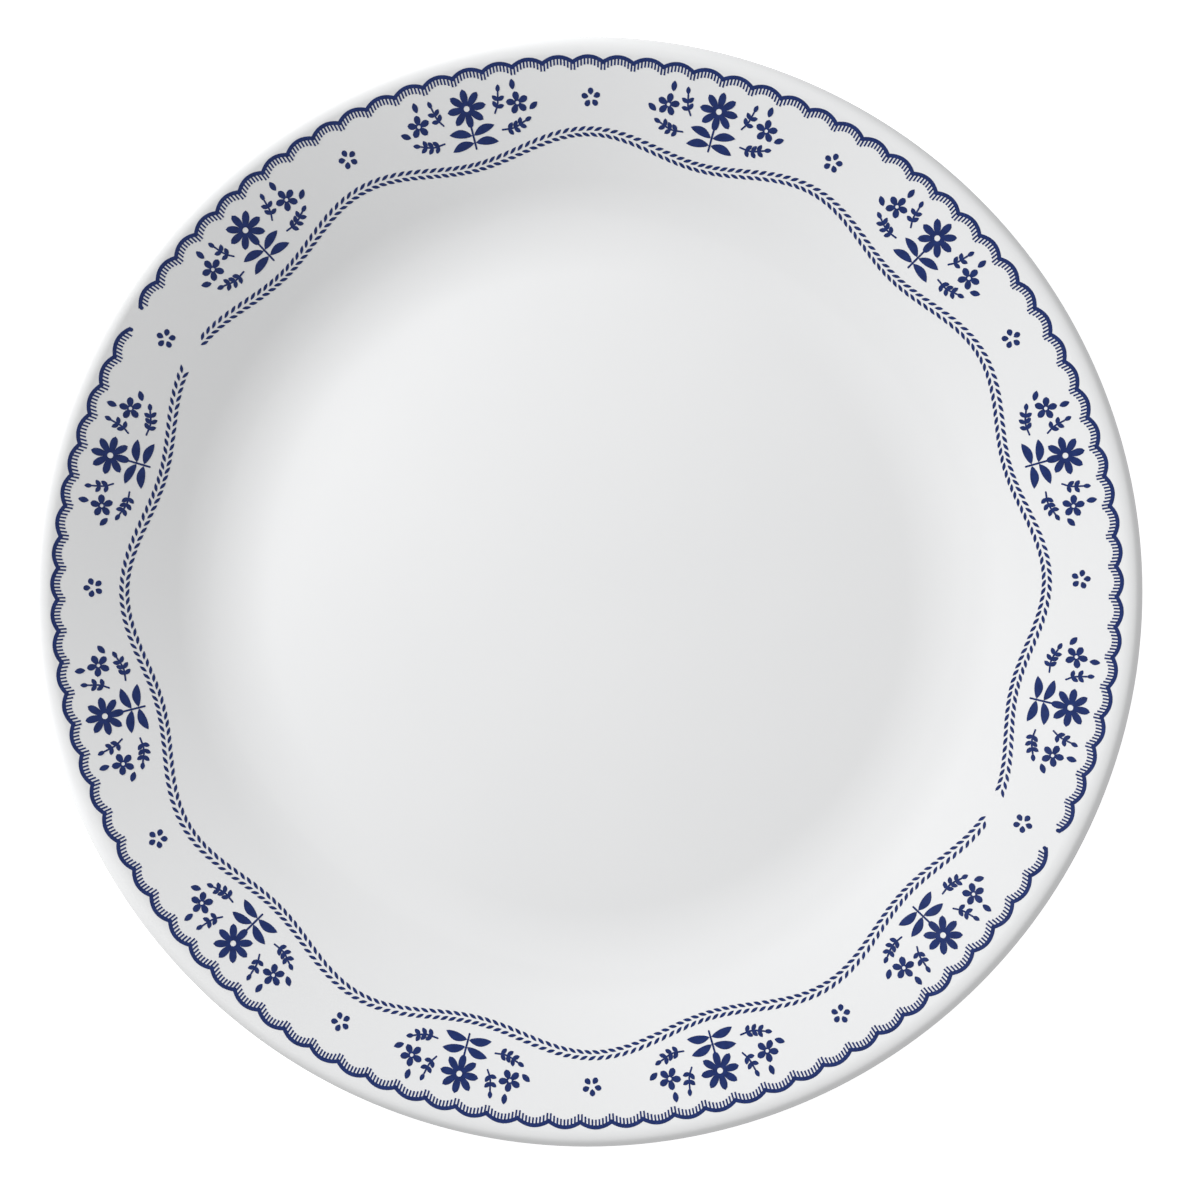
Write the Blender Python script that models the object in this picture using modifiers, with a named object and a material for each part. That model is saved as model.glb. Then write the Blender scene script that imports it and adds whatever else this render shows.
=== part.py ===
"""China dinner plate: a fired porcelain body, its two skins of glaze, and the two half-ring
transfers that carry the printed border.

Metres, +Z up. The origin is the centre of the foot ring's resting face, and the plate's axis is
Z.

Everything is turned about Z. The plate's face runs out from a flat well, up through a cove,
along a straight conical rim and over a soft shoulder to a thin round lip. Its back follows the
face at one thickness, down to the foot ring. The glaze is an offset of the body that stops short
of the foot's resting face, which is left bare so that the plate doesn't stick in the kiln. Each
transfer is half a ring of thin film, laid on the rim by hand, so its own centre lies a little
off the plate's axis.
"""

import math

import bmesh
import bpy
from mathutils import Vector

MM = 0.001

# Driving dimensions of the glazed plate.
PLATE_RADIUS = 130.0 * MM
WELL_RADIUS = 75.0 * MM  # where the flat floor ends and the cove starts
COVE_END_RADIUS = 97.0 * MM  # where the cove ends and the straight rim starts
RIM_SLOPE = math.radians(25.0)
SHOULDER_RADIUS = 5.7 * MM  # round from the rim's slope up to the crest
BROW_RADIUS = 2.3 * MM  # tighter round from the crest outwards
BROW_TURN = math.radians(45.0)  # how far past level the brow turns before it meets the lip

# The bare porcelain, under its glaze.
THICKNESS = 3.14 * MM
BASE_HEIGHT = 2.2 * MM  # underside of the well above the table
FOOT_INNER_RADIUS = 75.2 * MM
FOOT_OUTER_RADIUS = 79.6 * MM
FOOT_CHAMFER = 0.8 * MM
FOOT_FILLET = 1.4 * MM  # where the foot's outer side meets the back
BASE_FILLET = 0.7 * MM  # where its inner side meets the underside of the well

# Fired layers. The turned layers share their steps, so the gap between them stays open all over.
GLAZE_THICKNESS = 0.25 * MM
FILM_THICKNESS = 0.06 * MM
LAYER_GAP = 0.03 * MM
GLAZE_STOP_HEIGHT = 1.1 * MM  # height above the table where the glaze ends on the foot ring

# Transfers. Each half-ring stretches a little as it's laid, so it has its own centre, as an
# offset from the plate's axis, its own inner and outer radii about that centre, and the
# clockwise angles from +Y, in degrees, where it starts and ends.
TRANSFERS = {
    "transfer_upper_right": {
        "centre": (-0.05 * MM, 0.1 * MM),
        "radii": (101.5 * MM, 126.1 * MM),
        "turn": (-57.55, 116.95),
    },
    "transfer_lower_left": {
        "centre": (-0.75 * MM, -0.9 * MM),
        "radii": (101.5 * MM, 125.45 * MM),
        "turn": (118.75, 300.4),
    },
}

# Resolution.
TURN_STEPS = 64
COVE_STEPS = 6
SHOULDER_STEPS = 3
BROW_STEPS = 3
LIP_STEPS = 5
FILLET_STEPS = 3
CUTTER_STEP = math.radians(3.0)
CUTTER_HEIGHT = 40.0 * MM

# Sizes that follow from the ones above. Radii of arcs are for the porcelain, under the glaze.
# The lip's arc is the one that brings the back in parallel with the rim at the body's thickness.
SKIN = LAYER_GAP + GLAZE_THICKNESS
COVE_ARC = (COVE_END_RADIUS - WELL_RADIUS) / math.sin(RIM_SLOPE) + SKIN
SHOULDER_ARC = SHOULDER_RADIUS - SKIN
BROW_ARC = BROW_RADIUS - SKIN
SHOULDER_DEPTH = SHOULDER_ARC * (1.0 - math.cos(RIM_SLOPE))
BROW_DEPTH = BROW_ARC * (math.cos(RIM_SLOPE) - math.cos(RIM_SLOPE + BROW_TURN))
LIP_DEPTH = THICKNESS - SHOULDER_DEPTH - BROW_DEPTH
LIP_ARC = LIP_DEPTH / (1.0 + math.cos(RIM_SLOPE + BROW_TURN))
WELL_HEIGHT = BASE_HEIGHT + THICKNESS


def towards(lean):
    """The direction that leans away from +Z by an angle, in the (radius, height) plane."""
    return Vector((math.sin(lean), math.cos(lean)))


def arc(centre, radius, first, last, steps):
    """An arc as (point, outward direction) pairs, between two leans of that direction. A hollow
    arc, whose centre is outside the porcelain, has a negative radius."""
    outs = [towards(first + (last - first) * i / steps) for i in range(steps + 1)]
    return [(centre + out * radius, out) for out in outs]


def face_path():
    """The porcelain's surface from the axis over the face, round the lip and down the back to
    the foot ring's outer side, as (point, outward direction) pairs."""
    slope = towards(-RIM_SLOPE)
    cove_centre = Vector((WELL_RADIUS, WELL_HEIGHT + COVE_ARC))
    cove_end = cove_centre - slope * COVE_ARC
    to_brow = towards(0.0) * (SHOULDER_ARC - BROW_ARC)
    to_lip = towards(BROW_TURN) * (BROW_ARC - LIP_ARC)
    shoulder_centre_radius = PLATE_RADIUS - SKIN - LIP_ARC - to_lip.x
    shoulder_start_radius = shoulder_centre_radius + slope.x * SHOULDER_ARC
    rim_rise = (shoulder_start_radius - cove_end.x) * math.tan(RIM_SLOPE)
    shoulder_start = Vector((shoulder_start_radius, cove_end.y + rim_rise))
    shoulder_centre = shoulder_start - slope * SHOULDER_ARC
    brow_centre = shoulder_centre + to_brow
    lip_centre = brow_centre + to_lip

    back_arc = COVE_ARC + THICKNESS
    back_lean = math.pi - RIM_SLOPE
    foot_reach = FOOT_OUTER_RADIUS + FOOT_FILLET - WELL_RADIUS
    foot_lean = math.pi - math.asin(foot_reach / (back_arc + FOOT_FILLET))
    fillet_centre = cove_centre + towards(foot_lean) * (back_arc + FOOT_FILLET)

    path = [(Vector((0.0, WELL_HEIGHT)), towards(0.0))]
    path += arc(cove_centre, -COVE_ARC, 0.0, -RIM_SLOPE, COVE_STEPS)
    path += arc(shoulder_centre, SHOULDER_ARC, -RIM_SLOPE, 0.0, SHOULDER_STEPS)
    path += arc(brow_centre, BROW_ARC, 0.0, BROW_TURN, BROW_STEPS)[1:]
    path += arc(lip_centre, LIP_ARC, BROW_TURN, back_lean, LIP_STEPS)[1:]
    path += arc(cove_centre, back_arc, back_lean, foot_lean, COVE_STEPS)
    path += arc(fillet_centre, -FOOT_FILLET, foot_lean, math.pi / 2, FILLET_STEPS)[1:]
    path.append((Vector((FOOT_OUTER_RADIUS, GLAZE_STOP_HEIGHT)), towards(math.pi / 2)))
    return path


def base_path():
    """The porcelain's surface from the foot ring's inner side over the underside of the well to
    the axis, as (point, outward direction) pairs."""
    fillet_centre = Vector((FOOT_INNER_RADIUS - BASE_FILLET, BASE_HEIGHT - BASE_FILLET))
    path = [(Vector((FOOT_INNER_RADIUS, GLAZE_STOP_HEIGHT)), towards(-math.pi / 2))]
    path += arc(fillet_centre, -BASE_FILLET, -math.pi / 2, -math.pi, FILLET_STEPS)
    path.append((Vector((0.0, BASE_HEIGHT)), towards(math.pi)))
    return path


def foot_tip():
    """The foot ring's bare tip, from its outer side across the resting face to its inner side."""
    return [
        Vector((FOOT_OUTER_RADIUS, FOOT_CHAMFER)),
        Vector((FOOT_OUTER_RADIUS - FOOT_CHAMFER, 0.0)),
        Vector((FOOT_INNER_RADIUS + FOOT_CHAMFER, 0.0)),
        Vector((FOOT_INNER_RADIUS, FOOT_CHAMFER)),
    ]


def offset(path, distance):
    """The path's points moved outwards from the porcelain."""
    return [point + out * distance for point, out in path]


def turned(name, profile, collection, material):
    """A solid of revolution about Z. The profile runs down its outer side, top to bottom, and
    either starts and ends on the axis or is a loop clear of it."""
    mesh = bpy.data.meshes.new(name)
    edges = [(i, i + 1) for i in range(len(profile) - 1)]
    if profile[0].x > 0.0:
        edges.append((len(profile) - 1, 0))
    mesh.from_pydata([(point.x, 0.0, point.y) for point in profile], edges, [])
    mesh.materials.append(material)
    piece = bpy.data.objects.new(name, mesh)
    collection.objects.link(piece)
    screw = piece.modifiers.new("turn", "SCREW")
    screw.axis = "Z"
    screw.steps = TURN_STEPS
    screw.render_steps = TURN_STEPS
    screw.use_smooth_shade = True
    screw.use_merge_vertices = True
    screw.merge_threshold = 0.00001
    return piece


def layer(name, path, inner, outer, collection, material):
    """A thin turned skin over a path of the porcelain, between two distances from it."""
    profile = offset(path, outer) + offset(reversed(path), inner)
    return turned(name, profile, collection, material)


def half_ring_outline(radii, turn):
    """A half-ring's outline about its own centre: out along one arc and back along the other."""
    inner, outer = radii
    first, last = (math.radians(angle) for angle in turn)
    steps = round((last - first) / CUTTER_STEP)
    angles = [first + (last - first) * i / steps for i in range(steps + 1)]
    rounds = [(outer, angle) for angle in angles]
    rounds += [(inner, angle) for angle in reversed(angles)]
    return [(radius * math.sin(angle), radius * math.cos(angle)) for radius, angle in rounds]


def half_ring_block(name, layout, collection):
    """An upright block over one half-ring, as a mesh, for cutting a film to its outline."""
    outline = half_ring_outline(layout["radii"], layout["turn"])
    curve = bpy.data.curves.new(name, "CURVE")
    curve.dimensions = "2D"
    curve.fill_mode = "BOTH"
    curve.extrude = CUTTER_HEIGHT / 2
    spline = curve.splines.new("POLY")
    spline.points.add(len(outline) - 1)
    for point, (x, y) in zip(spline.points, outline):
        point.co = (x, y, 0.0, 1.0)
    spline.use_cyclic_u = True
    drawing = bpy.data.objects.new(name + "_drawing", curve)
    drawing.location = (*layout["centre"], CUTTER_HEIGHT / 2)
    collection.objects.link(drawing)
    bpy.context.view_layer.update()

    graph = bpy.context.evaluated_depsgraph_get()
    mesh = bpy.data.meshes.new_from_object(drawing.evaluated_get(graph))
    block = bpy.data.objects.new(name, mesh)
    block.matrix_world = drawing.matrix_world
    collection.objects.link(block)
    bpy.data.objects.remove(drawing)
    shape = bmesh.new()
    shape.from_mesh(mesh)
    bmesh.ops.remove_doubles(shape, verts=shape.verts, dist=0.00001)
    bmesh.ops.recalc_face_normals(shape, faces=shape.faces)
    shape.to_mesh(mesh)
    shape.free()
    block.hide_render = True
    block.display_type = "WIRE"
    return block


def transfer(name, layout, collection, cutters, material):
    """One half-ring of printed film on the glaze of the rim and shoulder."""
    first = COVE_STEPS
    last = first + 1 + SHOULDER_STEPS + 1
    rim = face_path()[first : last + 1]
    under = SKIN + LAYER_GAP
    film = layer(name, rim, under, under + FILM_THICKNESS, collection, material)
    cut = film.modifiers.new("half_ring", "BOOLEAN")
    cut.operation = "INTERSECT"
    cut.object = half_ring_block(name + "_block", layout, cutters)
    return film


def finish(name, colour, roughness):
    """A plain material of one colour."""
    material = bpy.data.materials.new(name)
    material.use_nodes = True
    shader = material.node_tree.nodes["Principled BSDF"]
    shader.inputs["Base Color"].default_value = (*colour, 1.0)
    shader.inputs["Roughness"].default_value = roughness
    shader.inputs["Metallic"].default_value = 0.0
    return material


def main():
    for old in list(bpy.data.objects):
        bpy.data.objects.remove(old)
    plate = bpy.data.collections.new("dinner_plate")
    cutters = bpy.data.collections.new("cutters")
    for collection in (plate, cutters):
        bpy.context.scene.collection.children.link(collection)

    bare = finish("bare_porcelain", (0.86, 0.84, 0.80), 0.75)
    glaze = finish("white_glaze", (0.82, 0.83, 0.84), 0.08)
    ink = finish("cobalt_ink", (0.03, 0.05, 0.16), 0.15)

    body_profile = offset(face_path(), 0.0) + foot_tip() + offset(base_path(), 0.0)
    turned("porcelain_body", body_profile, plate, bare)
    layer("face_glaze", face_path(), LAYER_GAP, SKIN, plate, glaze)
    layer("base_glaze", base_path(), LAYER_GAP, SKIN, plate, glaze)
    for name, layout in TRANSFERS.items():
        transfer(name, layout, plate, cutters, ink)


main()
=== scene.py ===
"""Looks for the china dinner plate: smooth turned porcelain and glaze, the printed border as thin
solids of ink, their materials, and a plain overhead studio.

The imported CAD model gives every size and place. Each turned piece follows its CAD node's
outline, and each half of the border is laid out on the half-ring of its CAD transfer. The print
is drawn flat, in millimetres, with x clockwise round the plate and y outwards, and then laid on
the glaze.
"""

import math
from bisect import bisect

import bmesh
import bpy
import numpy as np
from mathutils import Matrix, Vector
from mathutils.geometry import delaunay_2d_cdt


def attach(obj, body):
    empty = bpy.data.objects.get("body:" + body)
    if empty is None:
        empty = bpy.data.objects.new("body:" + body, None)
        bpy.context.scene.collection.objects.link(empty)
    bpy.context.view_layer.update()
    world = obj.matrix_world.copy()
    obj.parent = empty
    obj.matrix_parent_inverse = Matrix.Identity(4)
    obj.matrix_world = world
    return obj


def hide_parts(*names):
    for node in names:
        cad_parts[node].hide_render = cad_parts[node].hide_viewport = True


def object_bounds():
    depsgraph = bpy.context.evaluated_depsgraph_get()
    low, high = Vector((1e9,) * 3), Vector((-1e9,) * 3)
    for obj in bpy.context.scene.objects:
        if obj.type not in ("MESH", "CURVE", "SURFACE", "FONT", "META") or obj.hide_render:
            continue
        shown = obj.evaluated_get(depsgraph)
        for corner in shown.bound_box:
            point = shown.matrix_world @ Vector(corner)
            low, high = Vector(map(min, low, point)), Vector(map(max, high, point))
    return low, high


MM = 0.001

# Turned pieces.
TURN_STEPS = 256
TURN_MERGE = 0.00001  # joins the turned surface along its seam and at its axis
ON_PLANE = 1e-6  # how far off the XZ plane a vertex of a CAD outline may be
LONG_STRETCH = 4.0  # a chord this many times its neighbour is a straight stretch
STRAIGHT = math.radians(0.05)  # a chord whose ends bend less than this isn't made finer
FINER = 4  # chords that one chord of a round stretch becomes
CORNER = math.radians(40.0)  # an outline turning more than this at a point has a corner there
SHARP = math.radians(30.0)
WALL = 0.3  # a face of a transfer whose normal rises or falls more than this isn't an edge wall
ROUND_WALL = 0.7  # how squarely an edge wall faces out or in, if it isn't at the half-ring's end

# Ink, in millimetres above and below the glaze's surface.
INK_RISE = 0.05
INK_SINK = 0.02

# The border, in millimetres. SCALLOPS is the count in one half-ring, and the vine's wave is
# counted in scallops from the half-ring's start.
SCALLOPS = 53
TICKS_PER_SCALLOP = 9
SCALLOP_MARGIN = 0.4  # from the transfer's outer edge to a scallop's crest
SCALLOP_RISE = 1.25
SCALLOP_LINE = 0.9
SCALLOP_STEPS = 12
END_RADIUS = 0.495  # of the scalloped line's round ends
END_CURL = 0.3  # how far below the last cusp a round end lies
TICK_WIDTH = 0.42
TICK_REACH = 2.25  # from the scalloped line's outer edge to a tick's end, at a crest
TICK_EXTRA = 0.35  # further reach at a cusp
WAVE_PERIOD = 8.93
WAVE_START = -0.35
WAVES = 6
WAVE_HEIGHT = 2.5
VINE_ABOVE_INNER = 4.1  # from the transfer's inner edge to the middle of the wave
VINE_PAIRS = 30  # pairs of leaves in one wave
VINE_ROW = 0.69  # from the wave to the middle of each row of leaves
VINE_LEAF = (2.1, 0.75)  # leaves and petals are given as (length, width)
VINE_ENDS = (0.1, 0.2)  # scallops left bare at the vine's start and end
VINE_ROWS = (  # (side of the wave, share of a pair before its first leaf, splay)
    (1.0, 0.25, math.radians(28.0)),
    (-1.0, 0.75, math.radians(-24.0)),
)
ROSETTE_PETALS = 5
ROSETTE_PETAL = (1.7, 1.32)
ROSETTE_EYE = 0.62  # from a rosette's centre to its petals
ROSETTE_ANGLE = 94.0  # degrees, of its first petal
ROSETTE_BELOW_OUTER = 10.25  # from the transfer's outer edge to a rosette's centre
ROSETTE_AHEAD = 0.10  # scallops from the wave's crest to a rosette
SPRAY_BELOW_OUTER = 11.1  # from the transfer's outer edge to a spray's origin
SPRAY_AHEAD = 0.17  # scallops from the wave's trough to a spray
FLOWER_DISC = 0.3  # a flower's solid middle, as a share of its petals' length
FLOWER_EYE = 0.15  # the light eye in that middle, as the same share
MERGE = 0.002  # points of the print nearer than this become one
DISC_STEPS = 14

# A spray, in millimetres from its origin, with y outwards. Places are those of its right side,
# and angles are in degrees.
MAIN_FLOWER = (0.0, 1.6)
MAIN_PETALS = 8
MAIN_PETAL = (4.6, 1.75)
STEM = ((0.0, -1.0), (0.0, -4.4), (0.0, -7.8))
STEM_LINE = 0.46
STEM_LEAVES = (((0.2, -4.7), 14.0), ((0.2, -6.4), -10.0))  # (base, angle)
STEM_LEAF = (5.4, 2.0)
STEM_LEAF_BOW = 0.35
SIDE_FLOWER = (11.9, 0.2)
SIDE_PETALS = 5
SIDE_PETAL = (2.7, 1.55)
SPRIGS = (  # (stem, pairs of leaves)
    (((6.2, -0.9), (7.3, 0.9), (8.0, 3.6)), 2),
    (((7.0, -5.0), (9.8, -5.2), (12.6, -4.3)), 3),
)
SPRIG_LINE = 0.42
SPRIG_LEAF = (1.8, 1.05)
SPRIG_LEAN = 52.0  # between a sprig's stem and its side leaves
LOOSE_LEAVES = (((11.7, 4.6), 84.0), ((15.4, -1.3), 30.0))  # (middle, angle)
LOOSE_LEAF = (2.5, 1.35)


# Turned pieces ------------------------------------------------------------------------------


def cad_outline(node):
    """A turned CAD node's outline on its +X side, as (radius, height) vectors. It starts and
    ends on the axis, upper end first. The flat middles of the CAD mesh have no vertex on the
    axis, so the outline's loose ends are carried there at their own heights."""
    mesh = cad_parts[node].data
    links = {}
    for edge in mesh.edges:
        ends = [mesh.vertices[i].co for i in edge.vertices]
        if any(abs(end.y) > ON_PLANE or end.x < -ON_PLANE for end in ends):
            continue
        first, last = ((round(end.x, 6), round(end.z, 6)) for end in ends)
        if first != last:
            links.setdefault(first, set()).add(last)
            links.setdefault(last, set()).add(first)
    loose = [point for point in links if len(links[point]) == 1]
    path = [max(loose, key=lambda point: point[1])]
    onward = links[path[0]]
    while onward:
        path.append(min(onward))
        onward = links[path[-1]] - set(path)
    path = [(0.0, path[0][1])] + path + [(0.0, path[-1][1])]
    return [Vector(point) for point in path]


def runs_between_corners(outline):
    """The outline cut at its corners into runs that share their end points."""
    runs = [[outline[0]]]
    for before, here, after in zip(outline, outline[1:], outline[2:]):
        runs[-1].append(here)
        if (here - before).angle(after - here) > CORNER:
            runs.append([here])
    runs[-1].append(outline[-1])
    return runs


def tangents(run):
    """The direction of travel at each point: that of the circle through its neighbours, or of
    a straight stretch that ends there."""
    chords = [b - a for a, b in zip(run, run[1:])]
    found = [chords[0].normalized()]
    for before, after in zip(chords, chords[1:]):
        if before.length > after.length * LONG_STRETCH:
            mixed = before
        elif after.length > before.length * LONG_STRETCH:
            mixed = after
        else:
            mixed = before * (after.length / before.length) + after * (before.length / after.length)
        found.append(mixed.normalized())
    return found + [chords[-1].normalized()]


def rounded(run):
    """The run with its round stretches made smoother."""
    points = [run[0]]
    for a, b, leaving, arriving in zip(run, run[1:], tangents(run), tangents(run)[1:]):
        chord = b - a
        if leaving.angle(chord) + arriving.angle(chord) > STRAIGHT:
            for i in range(1, FINER):
                t = i / FINER
                swell = t * (1.0 - t) * chord.length
                points.append(a.lerp(b, t * t * (3.0 - 2.0 * t)))
                points[-1] += (leaving * (1.0 - t) - arriving * t) * swell
        points.append(b)
    return points


def fine_outline(node):
    """The CAD outline with its round stretches made smoother."""
    points = []
    for run in runs_between_corners(cad_outline(node)):
        fine = rounded(run) if len(run) > 2 else run
        points += fine if not points else fine[1:]
    return points


def add_piece(name, mesh, material, node):
    """A piece of the plate that stands for a CAD node and takes its material slot."""
    piece = bpy.data.objects.new(name, mesh)
    bpy.context.scene.collection.objects.link(piece)
    mesh.materials.clear()
    mesh.materials.append(material)
    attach(piece, "root")
    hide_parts(node)
    return piece


def turned_piece(name, node, material):
    """A smooth solid of revolution on a CAD node's outline."""
    outline = fine_outline(node)
    profile = bpy.data.meshes.new(name + "_profile")
    edges = [(i, i + 1) for i in range(len(outline) - 1)]
    profile.from_pydata([(point.x, 0.0, point.y) for point in outline], edges, [])
    lathe = bpy.data.objects.new(name + "_lathe", profile)
    bpy.context.scene.collection.objects.link(lathe)
    screw = lathe.modifiers.new("turn", "SCREW")
    screw.steps = TURN_STEPS
    screw.render_steps = TURN_STEPS
    screw.use_merge_vertices = True
    screw.merge_threshold = TURN_MERGE
    graph = bpy.context.evaluated_depsgraph_get()
    mesh = bpy.data.meshes.new_from_object(lathe.evaluated_get(graph))
    mesh.name = name
    bpy.data.objects.remove(lathe)
    bpy.data.meshes.remove(profile)
    mesh.shade_smooth()
    mesh.set_sharp_from_angle(angle=SHARP)
    return add_piece(name, mesh, material, node)


# Where the print lies -----------------------------------------------------------------------


class GlazeFace:
    """The glaze's upper surface, in millimetres, for laying print on it."""

    def __init__(self, node):
        outline = fine_outline(node)
        last = next(i for i, point in enumerate(outline) if point.x > outline[i + 1].x)
        self.radii = [point.x / MM for point in outline[: last + 1]]
        self.heights = [point.y / MM for point in outline[: last + 1]]

    def point(self, spot, rise):
        """The point at a distance from the surface, over or under a spot of the plan."""
        radius = spot.length
        i = bisect(self.radii, radius)
        run = self.radii[i] - self.radii[i - 1]
        slope = (self.heights[i] - self.heights[i - 1]) / run
        height = self.heights[i - 1] + slope * (radius - self.radii[i - 1])
        out = spot / radius
        normal = Vector((-slope * out.x, -slope * out.y, 1.0)).normalized()
        return Vector((spot.x, spot.y, height)) + normal * rise


class HalfRing:
    """Where a transfer lies in plan, in millimetres. Turns are clockwise angles from +Y about
    its own centre."""

    def __init__(self, node):
        walls = self.walls(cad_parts[node].data)
        outer = np.array(walls["outer"])
        table = np.column_stack([2.0 * outer, np.ones(len(outer))])
        x, y, rest = np.linalg.lstsq(table, (outer**2).sum(axis=1), rcond=None)[0]
        self.node = node
        self.centre = Vector((x, y))
        self.outer = math.sqrt(rest + x * x + y * y)
        self.inner = min((Vector(spot) - self.centre).length for spot in walls["inner"])
        turns = sorted(math.atan2(px - x, py - y) % math.tau for px, py in outer)
        gaps = [(b - a, b) for a, b in zip(turns, turns[1:] + [turns[0] + math.tau])]
        widest, self.first = max(gaps)
        self.last = self.first + math.tau - widest
        self.pitch = (self.last - self.first) / SCALLOPS

    @staticmethod
    def walls(mesh):
        """The plan spots of the corners of the film's outer and inner edges."""
        found = {"outer": [], "inner": []}
        for polygon in mesh.polygons:
            if abs(polygon.normal.z) > WALL:
                continue
            facing = polygon.normal.xy.normalized().dot(polygon.center.xy.normalized())
            if abs(facing) > ROUND_WALL:
                side = "outer" if facing > 0 else "inner"
                corners = [mesh.vertices[i].co for i in polygon.vertices]
                found[side] += [(corner.x / MM, corner.y / MM) for corner in corners]
        return found

    def turn(self, scallops):
        """The turn at a distance from the start, counted in scallops."""
        return self.first + self.pitch * scallops

    def wrapped(self, point):
        """A spot of a flat strip, where x runs along the outer edge and y is 0 on it."""
        turn = self.first + point.x / self.outer
        reach = self.outer + point.y
        return self.centre + Vector((math.sin(turn), math.cos(turn))) * reach

    def placed(self, turn, radius, tilt=0.0):
        """A function that puts flat shapes, unbent, at a turn and radius."""
        out = Vector((math.sin(turn), math.cos(turn)))
        along = Vector((out.y, -out.x))
        origin = self.centre + out * radius
        across = along * math.cos(tilt) + out * math.sin(tilt)
        up = out * math.cos(tilt) - along * math.sin(tilt)
        return lambda point: origin + across * point.x + up * point.y


# Flat shapes --------------------------------------------------------------------------------


def heading(angle):
    return Vector((math.cos(angle), math.sin(angle)))


def lens(base, angle, length, width, belly=0.5, points=(1.0, 1.0), bow=0.0, steps=9):
    """A leaf or petal from its base. It's widest at a share of its length, belly. The two
    values of points say how pointed its base and tip are: 1 is pointed and 0.5 is round. Bow
    bends it to its left. The angle is in degrees."""
    along = heading(math.radians(angle))
    left = Vector((-along.y, along.x))
    ease = math.log(0.5) / math.log(belly)

    def edge(i, side):
        share = i / steps
        power = points[0] + (points[1] - points[0]) * share
        half = width / 2 * max(math.sin(math.pi * share**ease), 0.0) ** power
        lift = bow * math.sin(math.pi * share) + half * side
        return Vector(base) + along * (length * share) + left * lift

    right_side = [edge(i, -1.0) for i in range(steps + 1)]
    return right_side + [edge(i, 1.0) for i in range(steps - 1, 0, -1)]


def mid_lens(centre, angle, length, width, **shape):
    """A lens placed by the middle of its length."""
    base = Vector(centre) - heading(math.radians(angle)) * (length / 2)
    return lens(base, angle, length, width, **shape)


def disc(centre, radius):
    turns = [math.tau * i / DISC_STEPS for i in range(DISC_STEPS)]
    return [Vector(centre) + heading(turn) * radius for turn in turns]


def through(points, steps=6):
    """A smooth path through points."""
    path = [Vector(point) for point in points]
    ends = [path[0] * 2.0 - path[1]] + path + [path[-1] * 2.0 - path[-2]]
    fine = []
    for a, b, c, d in zip(ends, ends[1:], ends[2:], ends[3:]):
        for i in range(steps):
            t = i / steps
            bend = (a * 2.0 - b * 5.0 + c * 4.0 - d) * t * t
            twist = (b * 3.0 - a - c * 3.0 + d) * t * t * t
            fine.append((b * 2.0 + (c - a) * t + bend + twist) / 2.0)
    return fine + [path[-1]]


def band(path, width):
    """A line of even width along a path, square at its ends."""
    ends = [path[0]] + path + [path[-1]]
    left_side = []
    right_side = []
    for before, here, after in zip(ends, ends[1:], ends[2:]):
        along = (after - before).normalized()
        left = Vector((-along.y, along.x)) * (width / 2)
        left_side.append(here + left)
        right_side.append(here - left)
    return right_side + left_side[::-1]


def block(left, right, bottom, top):
    return [
        Vector((left, bottom)),
        Vector((right, bottom)),
        Vector((right, top)),
        Vector((left, top)),
    ]


class Drawing:
    """Flat shapes painted one over another. Ink covers and blank clears."""

    def __init__(self):
        self.shapes = []

    def ink(self, outline):
        self.shapes.append(("ink", outline))

    def blank(self, outline):
        self.shapes.append(("blank", outline))

    def line(self, points, width):
        """A smooth stroke with round ends."""
        path = through(points)
        self.ink(band(path, width))
        self.ink(disc(path[0], width / 2))
        self.ink(disc(path[-1], width / 2))

    def inked(self, covers):
        """Whether a place is ink, from the shapes that cover it. The last one painted wins."""
        return bool(covers) and self.shapes[max(covers)][0] == "ink"

    def cells(self):
        """The inked area as (points, triangles)."""
        points = []
        outlines = []
        for _, outline in self.shapes:
            outlines.append(list(range(len(points), len(points) + len(outline))))
            points += outline
        cut = delaunay_2d_cdt(points, [], outlines, 1, MERGE)
        spots, triangles, covers = cut[0], cut[2], cut[5]
        kept = [t for t, over in zip(triangles, covers) if self.inked(over)]
        used = sorted({i for triangle in kept for i in triangle})
        place = {old: new for new, old in enumerate(used)}
        kept = [tuple(place[i] for i in triangle) for triangle in kept]
        return [spots[i] for i in used], kept


# The border's motifs ------------------------------------------------------------------------


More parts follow.
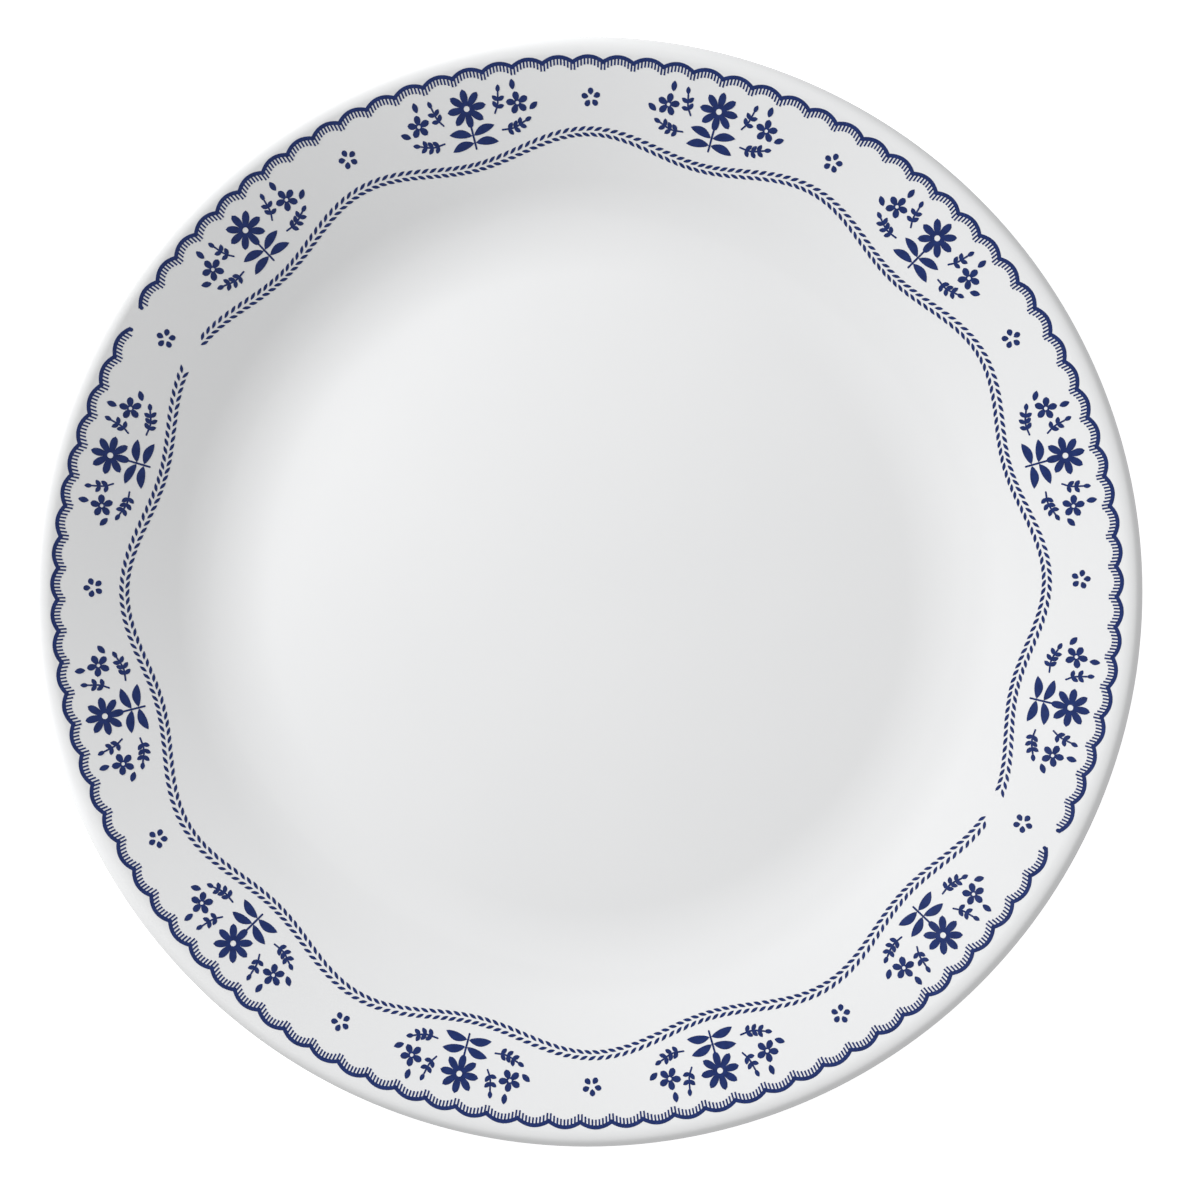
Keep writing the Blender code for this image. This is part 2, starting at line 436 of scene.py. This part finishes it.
def scalloped_line(pitch):
    """The half-ring's whole scalloped line with its ticks, as a flat strip. Pitch is one
    scallop's width."""
    drawing = Drawing()
    top = -SCALLOP_MARGIN - SCALLOP_LINE / 2

    def arch(share):
        """Height of the line's middle at a share of half a scallop from its crest."""
        return top - SCALLOP_RISE * share * share

    slope = 4.0 * SCALLOP_RISE / pitch
    mitre = Vector((1.0, -slope)).normalized() * (SCALLOP_LINE / 2 * slope)
    bare = ((0, 0), (SCALLOPS - 1, TICKS_PER_SCALLOP - 1))  # (scallop, tick) under a round end
    for scallop in range(SCALLOPS):
        middle = (scallop + 0.5) * pitch
        shares = [2.0 * i / SCALLOP_STEPS - 1.0 for i in range(SCALLOP_STEPS + 1)]
        path = [Vector((middle + share * pitch / 2, arch(share))) for share in shares]
        path = [path[0] - Vector((mitre.x, -mitre.y))] + path + [path[-1] + mitre]
        drawing.ink(band(path, SCALLOP_LINE))
        for tick in range(TICKS_PER_SCALLOP):
            if (scallop, tick) in bare:
                continue
            share = (2.0 * tick + 1.0) / TICKS_PER_SCALLOP - 1.0
            x = middle + share * pitch / 2
            end = arch(share) + SCALLOP_LINE / 2 - TICK_REACH - TICK_EXTRA * share * share
            drawing.ink(block(x - TICK_WIDTH / 2, x + TICK_WIDTH / 2, end, arch(share)))
    for x in (0.0, SCALLOPS * pitch):
        drawing.ink(disc((x, arch(1.0) - END_CURL), END_RADIUS))
    return drawing.cells()


def rosette():
    """Round-ended petals that don't meet."""
    drawing = Drawing()
    for petal in range(ROSETTE_PETALS):
        angle = ROSETTE_ANGLE + 360.0 * petal / ROSETTE_PETALS
        base = heading(math.radians(angle)) * ROSETTE_EYE
        drawing.ink(lens(base, angle, *ROSETTE_PETAL, belly=0.56, points=(0.65, 0.5)))
    return drawing.cells()


def vine_leaf():
    drawing = Drawing()
    drawing.ink(mid_lens((0.0, 0.0), 0.0, *VINE_LEAF, points=(0.75, 0.95), steps=6))
    return drawing.cells()


def flower(drawing, centre, petals, length, width):
    """Plain round-ended petals round a light eye."""
    for petal in range(petals):
        angle = 90.0 + 360.0 * petal / petals
        drawing.ink(lens(centre, angle, length, width, belly=0.62, points=(0.7, 0.5)))
    drawing.ink(disc(centre, length * FLOWER_DISC))
    drawing.blank(disc(centre, length * FLOWER_EYE))


def sprig(drawing, stem, pairs):
    """A fine bowed stem with pairs of leaves along it and a leaf at its tip."""
    drawing.line(stem, SPRIG_LINE)
    path = through(stem, steps=4 * (pairs + 1))
    stretch = (len(path) - 1) // (pairs + 1)
    for i in range(stretch, len(path), stretch):
        along = path[i] - path[i - 1]
        course = math.degrees(math.atan2(along.y, along.x))
        leans = (SPRIG_LEAN, -SPRIG_LEAN) if i < len(path) - 1 else (0.0,)
        for lean in leans:
            drawing.ink(lens(path[i], course + lean, *SPRIG_LEAF, points=(0.6, 0.75)))


def half_spray(drawing, side):
    """What lies on one side of a spray: +1 for the right and -1 for the left."""

    def place(spot):
        return side * spot[0], spot[1]

    def turned(angle):
        return angle if side > 0 else 180.0 - angle

    for base, angle in STEM_LEAVES:
        bow = side * STEM_LEAF_BOW
        drawing.ink(lens(place(base), turned(angle), *STEM_LEAF, bow=bow, points=(0.75, 0.8)))
    for stem, pairs in SPRIGS:
        sprig(drawing, [place(spot) for spot in stem], pairs)
    flower(drawing, place(SIDE_FLOWER), SIDE_PETALS, *SIDE_PETAL)
    for middle, angle in LOOSE_LEAVES:
        drawing.ink(mid_lens(place(middle), turned(angle), *LOOSE_LEAF, points=(0.7, 0.75)))


def spray():
    """One spray, the same on both sides of a plain flower on a straight stem."""
    drawing = Drawing()
    for side in (1.0, -1.0):
        half_spray(drawing, side)
    drawing.line(STEM, STEM_LINE)
    flower(drawing, MAIN_FLOWER, MAIN_PETALS, *MAIN_PETAL)
    return drawing.cells()


# Laying the print on the glaze --------------------------------------------------------------


def open_sides(triangles):
    """The triangles' sides that no other triangle shares."""
    sides = set()
    for a, b, c in triangles:
        sides |= {(a, b), (b, c), (c, a)}
    return sorted((a, b) for a, b in sides if (b, a) not in sides)


def ink_piece(name, cells, places, face, half, material):
    """One closed thin solid of ink for each place, joined in a piece."""
    spots, triangles = cells
    count = len(spots)
    rim = open_sides(triangles)
    points = []
    faces = []
    for place in places:
        start = len(points)
        laid = [place(spot) for spot in spots]
        points += [face.point(spot, INK_RISE) * MM for spot in laid]
        points += [face.point(spot, -INK_SINK) * MM for spot in laid]
        for a, b, c in triangles:
            faces.append((start + a, start + b, start + c))
            faces.append((start + count + c, start + count + b, start + count + a))
        for a, b in rim:
            faces.append((start + b, start + a, start + count + a, start + count + b))
    mesh = bpy.data.meshes.new(name)
    mesh.from_pydata(points, [], faces)
    solid = bmesh.new()
    solid.from_mesh(mesh)
    bmesh.ops.remove_doubles(solid, verts=solid.verts, dist=MERGE * MM)
    solid.to_mesh(mesh)
    solid.free()
    mesh.shade_smooth()
    mesh.set_sharp_from_angle(angle=SHARP)
    return add_piece(name, mesh, material, half.node)


def vine_places(half):
    """Where the vine's leaves lie: two rows of them along a wave, splayed from it."""
    middle = half.inner + VINE_ABOVE_INNER
    step = WAVE_PERIOD / VINE_PAIRS
    places = []
    for row, first, splay in VINE_ROWS:
        at = WAVE_START + step * first
        while at < SCALLOPS - VINE_ENDS[1]:
            phase = math.tau * (at - WAVE_START) / WAVE_PERIOD
            radius = middle + WAVE_HEIGHT * math.cos(phase)
            climb = -WAVE_HEIGHT * math.sin(phase) * math.tau / (WAVE_PERIOD * half.pitch)
            tilt = math.atan2(climb, radius)
            if at > VINE_ENDS[0]:
                turn = half.turn(at) - row * VINE_ROW * math.sin(tilt) / radius
                places.append(half.placed(turn, radius + row * VINE_ROW, tilt + splay))
            at += step
    return places


def print_half(side, node, motifs, face, material):
    """One half of the border on its transfer."""
    half = HalfRing(node)
    crests = [WAVE_START + WAVE_PERIOD * wave for wave in range(1, WAVES + 1)]
    strip = scalloped_line(half.pitch * half.outer)
    ink_piece("scalloped_line_" + side, strip, [half.wrapped], face, half, material)
    ink_piece("leaf_vine_" + side, motifs["leaf"], vine_places(half), face, half, material)
    radius = half.outer - ROSETTE_BELOW_OUTER
    places = [half.placed(half.turn(crest + ROSETTE_AHEAD), radius) for crest in crests]
    ink_piece("rosettes_" + side, motifs["rosette"], places, face, half, material)
    radius = half.outer - SPRAY_BELOW_OUTER
    troughs = [crest - WAVE_PERIOD / 2 for crest in crests]
    places = [half.placed(half.turn(trough + SPRAY_AHEAD), radius) for trough in troughs]
    ink_piece("flower_sprays_" + side, motifs["spray"], places, face, half, material)


def print_border(material):
    face = GlazeFace("face_glaze")
    motifs = {"leaf": vine_leaf(), "rosette": rosette(), "spray": spray()}
    print_half("upper_right", "transfer_upper_right", motifs, face, material)
    print_half("lower_left", "transfer_lower_left", motifs, face, material)


# Materials ----------------------------------------------------------------------------------

NOISE_RANGE = (0.3, 0.7)  # nearly all of a noise's values lie between these


class Recipe:
    """A node material round one Principled shader, with noise in object space."""

    def __init__(self, name):
        self.material = bpy.data.materials.new(name)
        self.material.use_nodes = True
        self.tree = self.material.node_tree
        self.shader = self.tree.nodes["Principled BSDF"]
        self.place = self.tree.nodes.new("ShaderNodeTexCoord").outputs["Object"]

    def noise(self, per_metre, detail=2.0):
        node = self.tree.nodes.new("ShaderNodeTexNoise")
        node.inputs["Scale"].default_value = per_metre
        node.inputs["Detail"].default_value = detail
        self.tree.links.new(self.place, node.inputs["Vector"])
        return node.outputs["Fac"]

    def ranged(self, source, low, high, low_out, high_out):
        """The source between two values, mapped to two others."""
        node = self.tree.nodes.new("ShaderNodeMapRange")
        for name, value in zip(
            ("From Min", "From Max", "To Min", "To Max"), (low, high, low_out, high_out)
        ):
            node.inputs[name].default_value = value
        self.tree.links.new(source, node.inputs["Value"])
        return node.outputs["Result"]

    def mottled(self, per_metre, low, high, detail=2.0):
        """Noise spread between two values."""
        return self.ranged(self.noise(per_metre, detail), *NOISE_RANGE, low, high)

    def blend(self, share, first, second):
        """A colour between two colours, each a triple or a socket."""
        node = self.tree.nodes.new("ShaderNodeMix")
        node.data_type = "RGBA"
        self.tree.links.new(share, node.inputs["Factor"])
        for socket, colour in ((node.inputs["A"], first), (node.inputs["B"], second)):
            if isinstance(colour, tuple):
                socket.default_value = (*colour, 1.0)
            else:
                self.tree.links.new(colour, socket)
        return node.outputs["Result"]

    def bump(self, source, distance, strength):
        node = self.tree.nodes.new("ShaderNodeBump")
        node.inputs["Distance"].default_value = distance
        node.inputs["Strength"].default_value = strength
        self.tree.links.new(source, node.inputs["Height"])
        self.tree.links.new(node.outputs["Normal"], self.shader.inputs["Normal"])

    def feed(self, name, source):
        self.tree.links.new(source, self.shader.inputs[name])


def glaze_material():
    """Glossy white glaze with a faint drift of tone and soft ripples."""
    recipe = Recipe("white_glaze_gloss")
    drift = recipe.mottled(18.0, 0.0, 1.0)
    recipe.feed("Base Color", recipe.blend(drift, (0.808, 0.814, 0.820), (0.821, 0.826, 0.831)))
    recipe.feed("Roughness", recipe.mottled(60.0, 0.09, 0.13))
    recipe.bump(recipe.noise(55.0), 0.00006, 0.35)
    recipe.shader.inputs["IOR"].default_value = 1.5
    return recipe.material


def ink_material():
    """Fired navy ink under a gloss, a little uneven in density."""
    recipe = Recipe("navy_ink_fired")
    density = recipe.mottled(900.0, 0.0, 1.0, detail=3.0)
    recipe.feed("Base Color", recipe.blend(density, (0.004, 0.017, 0.105), (0.009, 0.028, 0.150)))
    recipe.feed("Roughness", recipe.mottled(300.0, 0.14, 0.22))
    recipe.bump(recipe.noise(1400.0), 0.00001, 0.3)
    recipe.shader.inputs["IOR"].default_value = 1.4
    return recipe.material


def bare_material():
    """Dry unglazed porcelain with a fine grain, greyed where the foot rubs on other plates."""
    recipe = Recipe("bare_porcelain_matt")
    grain = recipe.mottled(1500.0, 0.0, 1.0, detail=4.0)
    clay = recipe.blend(grain, (0.72, 0.69, 0.64), (0.80, 0.775, 0.73))
    rub = recipe.ranged(recipe.noise(220.0, 3.0), 0.55, 0.75, 0.0, 0.5)
    recipe.feed("Base Color", recipe.blend(rub, clay, (0.48, 0.47, 0.46)))
    recipe.feed("Roughness", recipe.mottled(700.0, 0.65, 0.85))
    recipe.bump(recipe.noise(2500.0, 3.0), 0.00004, 0.6)
    return recipe.material


# Studio -------------------------------------------------------------------------------------

FRAME_WIDTH = 0.2808  # what the picture's width spans at the height of the lip
CAMERA_HEIGHT = 2.0
FRAME_SHIFT = (0.0105, -0.0070)  # the plate stands a little left of and above the middle
SENSOR = 36.0
FLOOR_RADIUS = 3.0
FLOOR_TONE = 0.9
FLOOR_GLOW = 0.7
FLOOR_GAP = 0.0001  # keeps the foot's face and the floor from sharing a plane
WORLD_STRENGTH = 0.502

# Square lights aimed at the plate: the bearing clockwise from +Y and the elevation, in degrees,
# then the distance and the side in metres, and the power in watts.
LIGHTS = {
    "key_light": (303.0, 27.0, 0.7, 0.27, 4.45),
    "top_light": (303.0, 89.0, 1.6, 1.4, 2.3),
}


def add_floor():
    """A wide pale floor. It glows towards the camera alone, so that it looks white even in the
    plate's shadow and yet throws no more light up at the plate than pale paper does."""
    bpy.ops.mesh.primitive_circle_add(vertices=64, radius=FLOOR_RADIUS, fill_type="NGON")
    floor = bpy.context.active_object
    floor.location.z = -FLOOR_GAP
    floor.name = "studio_floor"
    material = bpy.data.materials.new("pale_floor")
    material.use_nodes = True
    shader = material.node_tree.nodes["Principled BSDF"]
    shader.inputs["Base Color"].default_value = (FLOOR_TONE, FLOOR_TONE, FLOOR_TONE, 1.0)
    shader.inputs["Roughness"].default_value = 0.9
    shader.inputs["Specular IOR Level"].default_value = 0.0
    shader.inputs["Emission Color"].default_value = (FLOOR_GLOW, FLOOR_GLOW, FLOOR_GLOW, 1.0)
    rays = material.node_tree.nodes.new("ShaderNodeLightPath")
    seen = rays.outputs["Is Camera Ray"]
    material.node_tree.links.new(seen, shader.inputs["Emission Strength"])
    floor.data.materials.append(material)


def add_soft_light(name, bearing, elevation, distance, size, power):
    """A square soft light aimed at the plate."""
    turn, rise = math.radians(bearing), math.radians(elevation)
    away = Vector((math.sin(turn) * math.cos(rise), math.cos(turn) * math.cos(rise), math.sin(rise)))
    light = bpy.data.lights.new(name, "AREA")
    light.shape = "SQUARE"
    light.size = size
    light.energy = power
    lamp = bpy.data.objects.new(name, light)
    lamp.location = away * distance
    lamp.rotation_euler = away.to_track_quat("Z", "Y").to_euler()
    bpy.context.scene.collection.objects.link(lamp)


def add_lights():
    for name, setting in LIGHTS.items():
        add_soft_light(name, *setting)
    world = bpy.data.worlds.new("studio")
    world.use_nodes = True
    background = world.node_tree.nodes["Background"]
    background.inputs["Color"].default_value = (1.0, 1.0, 1.0, 1.0)
    background.inputs["Strength"].default_value = WORLD_STRENGTH
    bpy.context.scene.world = world


def add_camera(lip_height):
    """A long lens straight above the plate."""
    data = bpy.data.cameras.new("overhead")
    data.sensor_width = SENSOR
    data.lens = SENSOR * (CAMERA_HEIGHT - lip_height) / FRAME_WIDTH
    data.shift_x, data.shift_y = FRAME_SHIFT
    camera = bpy.data.objects.new("overhead", data)
    camera.location = (0.0, 0.0, CAMERA_HEIGHT)
    bpy.context.scene.collection.objects.link(camera)
    bpy.context.scene.camera = camera


# The scene ----------------------------------------------------------------------------------

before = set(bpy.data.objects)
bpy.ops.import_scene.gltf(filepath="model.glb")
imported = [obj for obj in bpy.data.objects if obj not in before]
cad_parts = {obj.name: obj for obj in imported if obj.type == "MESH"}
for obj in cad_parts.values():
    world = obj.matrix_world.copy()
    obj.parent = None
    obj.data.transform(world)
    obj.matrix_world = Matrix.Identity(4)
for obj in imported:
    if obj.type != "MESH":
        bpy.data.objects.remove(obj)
cad_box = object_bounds()
glaze = glaze_material()
turned_piece("plate_body", "porcelain_body", bare_material())
turned_piece("glaze_face", "face_glaze", glaze)
turned_piece("glaze_base", "base_glaze", glaze)
print_border(ink_material())
add_floor()
add_lights()
add_camera(cad_box[1].z)
bpy.context.scene.view_settings.view_transform = "Standard"
bpy.context.scene.view_settings.look = "None"
